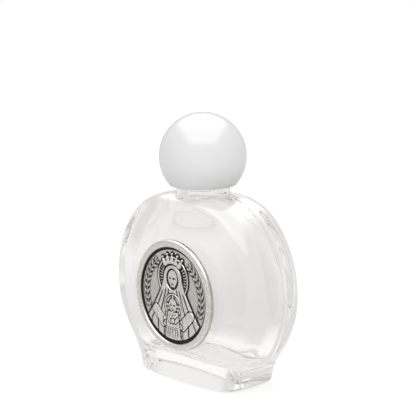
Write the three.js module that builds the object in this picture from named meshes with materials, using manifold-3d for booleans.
// Holy water bottle: a round, flat flask of clear glass with a screw cap shaped as a ball
// and a round medal on its front face.
// Lengths are millimetres. +Z is up, the flask stands on z = 0 and the medal faces -Y.
import * as THREE from "three";
import { mergeVertices } from "three/addons/utils/BufferGeometryUtils.js";
import { ParametricGeometry } from "three/addons/geometries/ParametricGeometry.js";
import Module from "manifold-3d";

const wasm = await Module();
wasm.setup();

// Flask, outside. Seen from the front it is a disc with flatter shoulders and a hollow waist above the foot.
const discRadius = 28.5;
const discCentreHeight = 25.3;
const shoulderRadius = 20;
const shoulderStart = THREE.MathUtils.degToRad(44.5);
const footHalfWidth = 18.3;
const waistRadius = 12;
const flaskDepth = 20.7;

// The edge between rim and face is a superellipse: how far in from the outline it reaches, and its power.
const edgeWidth = 13.2;
const edgePower = 4.8;

// Flask, inside
const rimWall = 2.8;
const faceWall = 2.6;
const floorThickness = 6;
const cavityEdgeWidth = 9;
const cavityEdgePower = 4;

// Neck with its bead and screw thread
const neckHeight = 11.4;
const neckRadius = 5.8;
const boreRadius = 4;
const lipRounding = 0.6;
const beadRadius = 7.4;
const beadHeight = 1.65;
const beadRounding = 0.5;
const threadPitch = 2.1;
const threadDepth = 0.7;
const threadRootWidth = 1.2;
const threadCrestWidth = 0.6;
const neckThreadTurns = 1.75;
const neckThreadStart = 5.3;
const threadRootSink = 0.4;
const threadFadeTurns = 0.12;

// Pouring plug pressed into the neck
const plugFlangeRadius = 5.3;
const plugFlangeThickness = 0.8;
const plugLength = 7;
const plugWall = 0.9;
const plugWebThickness = 0.8;
const plugHoleRadius = 1.75;
const plugRibHeight = 0.1;
const plugRibWidth = 0.8;
const plugRibDepths = [2.1, 4.2];
const plugTaperLength = 1;

// Ball cap: an outer shell, the threaded insert that it is pressed onto, and the sealing liner
const ballRadius = 12;
const ballFlatDrop = 7.8;
const ballFootRing = 0.9;
const ballWall = 1.3;
const insertWall = 1.25;
const insertRoof = 1.3;
const collarHeight = 0.8;
const collarReach = 0.4;
const capThreadTurns = 1.5;
const linerThickness = 1;

// Medal and the adhesive behind it
const medalRadius = 15.3;
const medalHeight = 24.2;
const medalThickness = 1.5;
const medalRimWidth = 2.1;
const medalFieldDepth = 0.7;
const medalEdgeRounding = 0.35;
const padInset = 0.8;
const padThickness = 0.25;

// Relief on the medal: heights and half sizes are counted from the middle of its field
const reliefHeight = 0.6;
const headHeight = 4.2;
const headHalfWidth = 1.75;
const headHalfTall = 2.3;
const haloRadius = 5.2;
const haloWire = 0.28;
const haloLift = 0.093;
const figureSink = 0.07;
const veilHalfWidth = 3.3;
const veilHalfTall = 3.4;
const mantleGap = 1.6;
const mantleThickness = 0.35;
const mantleBevel = 0.175;
const mantleSpread = THREE.MathUtils.degToRad(42);
const childHeadHeight = -2.4;
const childHeadHalfWidth = 1.25;
const childHeadHalfTall = 1.55;
const childHaloRadius = 2.6;
const childBodyHeight = -8.2;
const childBodyHalfWidth = 2.5;
const childBodyHalfTall = 2.6;

// Clearances
const seatGap = 0.05;
const slideGap = 0.12;
const threadGap = 0.25;
const capGap = 0.3;

// Fineness of the facets
const waistSegments = 5;
const sideSegments = 22;
const shoulderSegments = 6;
const edgeSegments = 15;
const cavityEdgeSegments = 11;
const turnSegments = 48;
const arcSegments = 5;
const ballSegments = 18;
const ballInsideSegments = 6;
const domeTurnSegments = 20;
const domeRiseSegments = 12;
const haloTurnSegments = 32;
const haloWireSegments = 6;
const mantleSegments = 8;

// Heights and radii that follow from the sizes above
const halfDepth = flaskDepth / 2;
const waistCentreX = footHalfWidth + waistRadius;
const waistCentreHeight =
  discCentreHeight - Math.sqrt((discRadius + waistRadius) ** 2 - waistCentreX ** 2);
const waistAngle = Math.atan2(waistCentreHeight - discCentreHeight, waistCentreX);
const shoulderCentreX = (discRadius - shoulderRadius) * Math.cos(shoulderStart);
const shoulderCentreHeight =
  discCentreHeight + (discRadius - shoulderRadius) * Math.sin(shoulderStart);
const shoulderTop = shoulderCentreHeight + shoulderRadius;
const cavityTop = shoulderTop - rimWall;
const neckTop = shoulderTop + neckHeight;
const beadTop = shoulderTop + beadHeight;
const plugFlangeBottom = neckTop + seatGap;
const plugTop = plugFlangeBottom + plugFlangeThickness;
const plugRadius = boreRadius - slideGap - plugRibHeight;
const linerBottom = plugTop + seatGap;
const linerTop = linerBottom + linerThickness;
const capBottom = beadTop + capGap;
const ballCentreHeight = capBottom + ballFlatDrop;
const insertBoreRadius = neckRadius + threadDepth + threadGap;
const sleeveRadius = insertBoreRadius + insertWall;
const insertRoofBottom = linerTop + seatGap;
const insertTop = insertRoofBottom + insertRoof;
const linerRadius = insertBoreRadius - threadGap;
const neckThreadBottom = shoulderTop + neckThreadStart;
const threadStartTurn = 0.5 / turnSegments;

// A geometry as a solid: only its places are kept, shared corners are joined,
// and the triangles that a pole leaves without area are dropped.
function toSolid(geometry) {
  const bare = geometry.clone();
  bare.deleteAttribute("normal");
  bare.deleteAttribute("uv");
  const merged = mergeVertices(bare, 1e-4);
  const corners = merged.index.array;
  const triVerts = [];
  for (let i = 0; i < corners.length; i += 3) {
    const [a, b, c] = corners.slice(i, i + 3);
    if (a !== b && b !== c && c !== a) triVerts.push(a, b, c);
  }
  return new wasm.Manifold(
    new wasm.Mesh({
      numProp: 3,
      vertProperties: new Float32Array(merged.attributes.position.array),
      triVerts: new Uint32Array(triVerts),
    }),
  );
}

// A solid as a geometry with one flat normal for each face.
function toGeometry(solid) {
  const mesh = solid.getMesh();
  const places = new Float32Array(mesh.numVert * 3);
  for (let i = 0; i < mesh.numVert; i++) {
    places.set(mesh.vertProperties.subarray(i * mesh.numProp, i * mesh.numProp + 3), i * 3);
  }
  const indexed = new THREE.BufferGeometry();
  indexed.setAttribute("position", new THREE.BufferAttribute(places, 3));
  indexed.setIndex(new THREE.BufferAttribute(new Uint32Array(mesh.triVerts), 1));
  const flat = indexed.toNonIndexed();
  flat.computeVertexNormals();
  return flat;
}

// A turned solid about the Z axis. The profile is a list of [radius, height] points.
function turned(profile) {
  const points = profile.map(([radius, height]) => new THREE.Vector2(radius, height));
  return toSolid(new THREE.LatheGeometry(points, turnSegments).rotateX(Math.PI / 2));
}

// Points of a round in a profile, from one angle to another.
function round(centreRadius, centreHeight, radius, from, to, segments = arcSegments) {
  const points = [];
  for (let i = 0; i <= segments; i++) {
    const angle = THREE.MathUtils.lerp(from, to, i / segments);
    points.push([
      centreRadius + radius * Math.cos(angle),
      centreHeight + radius * Math.sin(angle),
    ]);
  }
  return points;
}

// The flask's outline in the XZ plane as a list of [x, height], moved inwards by an inset and cut off
// flat at a floor. It starts in the middle of the floor and runs up the right side, over the shoulders
// and down the left side. Every inset gives the same number of points.
function flaskOutline(inset, floor) {
  const waist = waistRadius + inset;
  const radius = discRadius - inset;
  const waistEnd = Math.PI + waistAngle;
  const waistFoot = Math.PI - Math.asin((floor - waistCentreHeight) / waist);
  const discFoot = Math.asin(Math.max(-1, (floor - discCentreHeight) / radius));
  const right = [
    ...round(
      waistCentreX, waistCentreHeight, waist, Math.max(waistFoot, waistEnd), waistEnd, waistSegments,
    ),
    ...round(
      0, discCentreHeight, radius, Math.max(discFoot, waistAngle), shoulderStart, sideSegments,
    ).slice(1),
    ...round(
      shoulderCentreX, shoulderCentreHeight, shoulderRadius - inset,
      shoulderStart, Math.PI / 2, shoulderSegments,
    ).slice(1),
  ];
  const left = right.map(([x, height]) => [-x, height]).reverse();
  return [[0, floor], ...right, ...left, [0, floor]];
}

// A pillow on the flask's outline: its rows run from the middle of the back to the middle of the front,
// and each lies as far in from the outline as the superellipse says.
function pillow(inset, half, width, power, rows, floor) {
  const outlines = [];
  for (let row = 1; row < rows; row++) {
    const angle = Math.PI * ((row - 1) / (rows - 2) - 0.5);
    const inwards = width * (1 - Math.abs(Math.cos(angle)) ** (2 / power));
    const y = -half * Math.sign(angle) * Math.abs(Math.sin(angle)) ** (2 / power);
    const outline = flaskOutline(inset + inwards, floor);
    outlines.push(outline.map(([x, height]) => new THREE.Vector3(x, y, height)));
  }
  const columns = outlines[0].length - 1;
  const surface = (u, v, target) => {
    const row = Math.round(v * rows);
    if (row === 0) target.set(0, half, discCentreHeight);
    else if (row === rows) target.set(0, -half, discCentreHeight);
    else target.copy(outlines[row - 1][Math.round(u * columns)]);
  };
  return toSolid(new ParametricGeometry(surface, columns, rows));
}

// A ridge of a right-hand screw thread. Its section is a trapezium, carried up a helix about Z;
// it stands on a cylinder of the root radius, reaches the crest radius, sinks back at both ends,
// and goes into the wall behind it so that the two can be joined.
function threadRidge(rootRadius, crestRadius, startTurn, turns, startHeight) {
  const side = Math.sign(crestRadius - rootRadius);
  const sunkRadius = rootRadius - side * threadRootSink;
  const steps = Math.round(turns * turnSegments);
  const surface = (u, v, target) => {
    const step = Math.round(u * steps);
    const corner = Math.round(v * 4) % 4;
    const turn = startTurn + (turns * step) / steps;
    const atEnd = step === 0 || step === steps;
    const fromEnd = (turns * Math.min(step, steps - step)) / steps;
    const fade = Math.min(1, fromEnd / threadFadeTurns);
    const outer = corner === 1 || corner === 2;
    const radius = outer ? THREE.MathUtils.lerp(sunkRadius, crestRadius, fade) : sunkRadius;
    const halfWidth = (outer ? threadCrestWidth : threadRootWidth) / 2;
    const offset = atEnd ? 0 : halfWidth * (corner < 2 ? -side : side);
    const angle = turn * 2 * Math.PI;
    target.set(
      radius * Math.sin(angle),
      -radius * Math.cos(angle),
      startHeight + turn * threadPitch + offset,
    );
  };
  return toSolid(new ParametricGeometry(surface, steps, 4));
}

// Glass flask with its neck, hollow inside and open at the lip
function glassBottle() {
  const body = pillow(0, halfDepth, edgeWidth, edgePower, edgeSegments, 0);
  const neckRoot = (shoulderTop + cavityTop) / 2;
  const neck = turned([
    [0, neckRoot],
    [beadRadius, neckRoot],
    ...round(
      beadRadius - beadRounding, beadTop - beadRounding, beadRounding, 0, Math.PI / 2,
    ),
    [neckRadius, beadTop],
    ...round(neckRadius - lipRounding, neckTop - lipRounding, lipRounding, 0, Math.PI / 2),
    [0, neckTop],
  ]);
  const ridge = threadRidge(
    neckRadius, neckRadius + threadDepth, threadStartTurn, neckThreadTurns, neckThreadBottom,
  );
  const hollow = pillow(
    rimWall, halfDepth - faceWall, cavityEdgeWidth, cavityEdgePower, cavityEdgeSegments,
    floorThickness,
  );
  const bore = turned([
    [0, discCentreHeight],
    [boreRadius, discCentreHeight],
    [boreRadius, neckTop + neckHeight],
    [0, neckTop + neckHeight],
  ]);
  return body.add(neck).add(ridge).subtract(hollow).subtract(bore);
}

// Soft plug in the bore: a flange on the lip, a ribbed skirt and a web with the pouring hole
function pouringPlug() {
  const bottom = plugFlangeBottom - plugLength;
  const inner = plugRadius - plugWall;
  const ribs = plugRibDepths.flatMap((depth) => {
    const middle = plugFlangeBottom - depth;
    return [
      [plugRadius, middle - plugRibWidth / 2],
      [plugRadius + plugRibHeight, middle],
      [plugRadius, middle + plugRibWidth / 2],
    ];
  });
  ribs.sort((a, b) => a[1] - b[1]);
  return turned([
    [plugHoleRadius, bottom],
    [plugRadius - plugWall / 2, bottom],
    [plugRadius, bottom + plugTaperLength],
    ...ribs,
    [plugRadius, plugFlangeBottom],
    [plugFlangeRadius, plugFlangeBottom],
    [plugFlangeRadius, plugTop],
    [inner, plugTop],
    [inner, bottom + plugWebThickness],
    [plugHoleRadius, bottom + plugWebThickness],
    [plugHoleRadius, bottom],
  ]);
}

// Points of a ball from the flat at its foot, this far below its centre, up to its top.
// Where the ball would be narrower than its foot has to be, a straight skirt takes its place.
function ballArc(radius, flatDrop, footRadius, segments) {
  const skirtTop = Math.min(flatDrop, Math.sqrt(radius ** 2 - footRadius ** 2));
  const points = round(
    0, ballCentreHeight, radius, Math.asin(-skirtTop / radius), Math.PI / 2, segments,
  );
  points[segments][0] = 0;
  return [[points[0][0], ballCentreHeight - flatDrop], ...points];
}

// Hollow ball with a flat underside and a round opening that the insert's sleeve fills
function ballShell() {
  const opening = sleeveRadius + slideGap;
  const collarRoom = sleeveRadius + collarReach + seatGap;
  const outside = ballArc(ballRadius, ballFlatDrop, opening + ballFootRing, ballSegments);
  const inside = ballArc(
    ballRadius - ballWall, ballFlatDrop - ballWall, collarRoom, ballInsideSegments,
  );
  return turned([
    [opening, capBottom],
    ...outside,
    ...inside.reverse(),
    [opening, capBottom + ballWall],
    [opening, capBottom],
  ]);
}

// Threaded sleeve inside the ball, closed at the top, with a collar that holds it above the ball's floor
function threadInsert() {
  const collarBottom = capBottom + ballWall + seatGap;
  const sleeve = turned([
    [insertBoreRadius, capBottom],
    [sleeveRadius, capBottom],
    [sleeveRadius, collarBottom],
    [sleeveRadius + collarReach, collarBottom],
    [sleeveRadius + collarReach, collarBottom + collarHeight / 2],
    [sleeveRadius, collarBottom + collarHeight],
    [sleeveRadius, insertTop],
    [0, insertTop],
    [0, insertRoofBottom],
    [insertBoreRadius, insertRoofBottom],
    [insertBoreRadius, capBottom],
  ]);
  const ridge = threadRidge(
    insertBoreRadius,
    insertBoreRadius - threadDepth,
    threadStartTurn + neckThreadTurns - capThreadTurns,
    capThreadTurns,
    neckThreadBottom - threadPitch / 2,
  );
  return sleeve.add(ridge);
}

// A plain round disc about Z.
function disc(radius, bottom, top) {
  return turned([
    [0, bottom],
    [radius, bottom],
    [radius, top],
    [0, top],
  ]);
}

// A dome that stands on the medal's field at a height on its middle line.
function dome(height, halfWidth, halfTall, field) {
  const ball = new THREE.SphereGeometry(1, domeTurnSegments, domeRiseSegments);
  const sunk = field - figureSink;
  return toSolid(ball.scale(halfWidth, halfTall, reliefHeight + figureSink).translate(0, height, sunk));
}

// A thin ring that lies round a head.
function halo(height, radius, field) {
  const ring = new THREE.TorusGeometry(radius, haloWire, haloWireSegments, haloTurnSegments);
  return toSolid(ring.translate(0, height, field + haloLift));
}

// The mother's veil and mantle: round over the head, then spreading down to the field's edge
function mantle(field, fieldRadius) {
  const reach = fieldRadius - mantleGap;
  const hemX = reach * Math.sin(mantleSpread);
  const hemHeight = -reach * Math.cos(mantleSpread);
  const bend = (headHeight + hemHeight) / 2;
  const outline = new THREE.Shape();
  outline.moveTo(-hemX, hemHeight);
  outline.bezierCurveTo(-hemX, bend, -veilHalfWidth, bend, -veilHalfWidth, headHeight);
  outline.absellipse(0, headHeight, veilHalfWidth, veilHalfTall, Math.PI, 0, true);
  outline.bezierCurveTo(veilHalfWidth, bend, hemX, bend, hemX, hemHeight);
  outline.absarc(
    0, 0, reach, mantleSpread - Math.PI / 2, -mantleSpread - Math.PI / 2, true,
  );
  const cloth = new THREE.ExtrudeGeometry(outline, {
    depth: mantleThickness,
    bevelThickness: mantleBevel,
    bevelSize: mantleBevel,
    bevelSegments: 1,
    curveSegments: mantleSegments,
  });
  return toSolid(cloth.translate(0, 0, field - mantleThickness));
}

// The medal lies in its own XY plane, with +Z towards the viewer. A rim stands round a sunk field,
// and on the field stands a mother in a veil and mantle, with a child in front of her.
function medalPlate() {
  const top = medalThickness;
  const field = medalThickness - medalFieldDepth;
  const fieldRadius = medalRadius - medalRimWidth;
  const plate = turned([
    [0, 0],
    [medalRadius, 0],
    ...round(
      medalRadius - medalEdgeRounding, top - medalEdgeRounding, medalEdgeRounding, 0, Math.PI / 2,
    ),
    [fieldRadius + medalFieldDepth / 2, top],
    [fieldRadius, field],
    [0, field],
  ]);
  const figures = [
    mantle(field, fieldRadius),
    halo(headHeight, haloRadius, field),
    dome(headHeight, headHalfWidth, headHalfTall, field),
    halo(childHeadHeight, childHaloRadius, field + mantleThickness / 2),
    dome(childHeadHeight, childHeadHalfWidth, childHeadHalfTall, field),
    dome(childBodyHeight, childBodyHalfWidth, childBodyHalfTall, field),
  ];
  return figures.reduce((whole, figure) => whole.add(figure), plate);
}

const clearGlass = new THREE.MeshStandardMaterial({
  color: 0xf1f2f0,
  roughness: 0.05,
  metalness: 0,
  transparent: true,
  opacity: 0.35,
});
const whitePlastic = new THREE.MeshStandardMaterial({
  color: 0xf4f4f3,
  roughness: 0.2,
  metalness: 0,
});
const naturalPlastic = new THREE.MeshStandardMaterial({
  color: 0xe6e6e0,
  roughness: 0.45,
  metalness: 0,
});
const linerFoam = new THREE.MeshStandardMaterial({
  color: 0xeeeeea,
  roughness: 0.8,
  metalness: 0,
});
const agedSilver = new THREE.MeshStandardMaterial({
  color: 0x9b9b99,
  roughness: 0.35,
  metalness: 1,
});
const clearAdhesive = new THREE.MeshStandardMaterial({
  color: 0xd9dad6,
  roughness: 0.5,
  metalness: 0,
});

// Adds one named sub-part to its parent group.
function addPart(parent, name, solid, material) {
  const mesh = new THREE.Mesh(toGeometry(solid), material.clone());
  mesh.name = name;
  parent.add(mesh);
  return mesh;
}

const group = new THREE.Group();
addPart(group, "glass_bottle", glassBottle(), clearGlass);
addPart(group, "pouring_plug", pouringPlug(), naturalPlastic);

const cap = new THREE.Group();
addPart(cap, "cap_ball_shell", ballShell(), whitePlastic);
addPart(cap, "cap_thread_insert", threadInsert(), whitePlastic);
addPart(cap, "sealing_liner", disc(linerRadius, linerBottom, linerTop), linerFoam);
group.add(cap);

// The medal's group turns its own XY plane to the flask's front.
const front = new THREE.Group();
front.rotation.x = Math.PI / 2;
front.position.set(0, -halfDepth - seatGap, medalHeight);
addPart(front, "medal_adhesive", disc(medalRadius - padInset, 0, padThickness), clearAdhesive);
const medal = addPart(front, "medal", medalPlate(), agedSilver);
medal.position.z = padThickness + seatGap;
group.add(front);

export default group;
